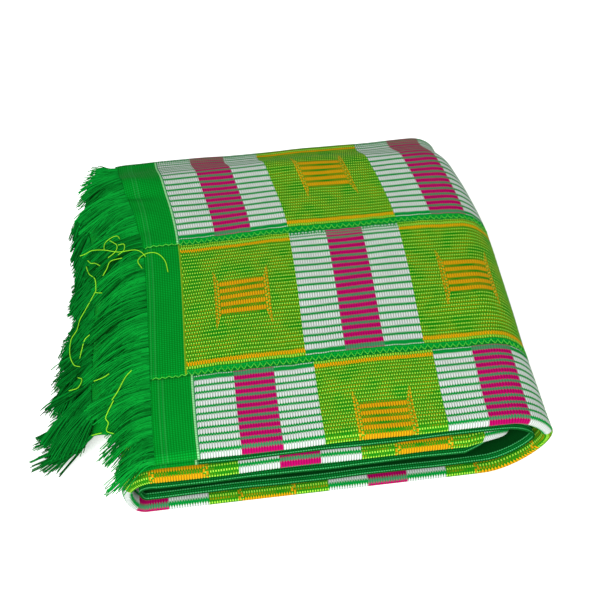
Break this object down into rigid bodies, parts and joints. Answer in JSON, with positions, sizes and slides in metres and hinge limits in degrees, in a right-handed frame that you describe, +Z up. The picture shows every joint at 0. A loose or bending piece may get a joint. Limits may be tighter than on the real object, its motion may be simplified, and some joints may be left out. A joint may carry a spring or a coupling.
{
  "type": "folded strip-woven pagne cloth",
  "caption": "Strip-woven cotton wrapper cloth folded into a low rectangular pile, with sewn strips, block pattern, plain header and cut fringe at one end",
  "frame": {"origin": "middle of the pile's box, on the surface that it lies on", "axes": "+Z up; X runs along the strips with the fringe at -X; -Y is the front with the rounded folds"},
  "size_m": [0.2694, 0.2474, 0.0547],
  "materials": {
    "cloth_white_magenta": "matte",
    "cloth_green_gold": "matte",
    "fringe_yarn": "matte",
    "sewing_thread": "matte"
  },
  "bodies": {
    "root": {"strip_1": "cloth_white_magenta", "strip_2": "cloth_green_gold", "strip_3": "cloth_white_magenta", "strip_4": "cloth_green_gold", "strip_5": "cloth_white_magenta", "strip_6": "cloth_green_gold", "strip_7": "cloth_white_magenta", "fringe_top": "fringe_yarn", "fringe_middle": "fringe_yarn", "fringe_bottom": "fringe_yarn"}
  },
  "joints": []
}
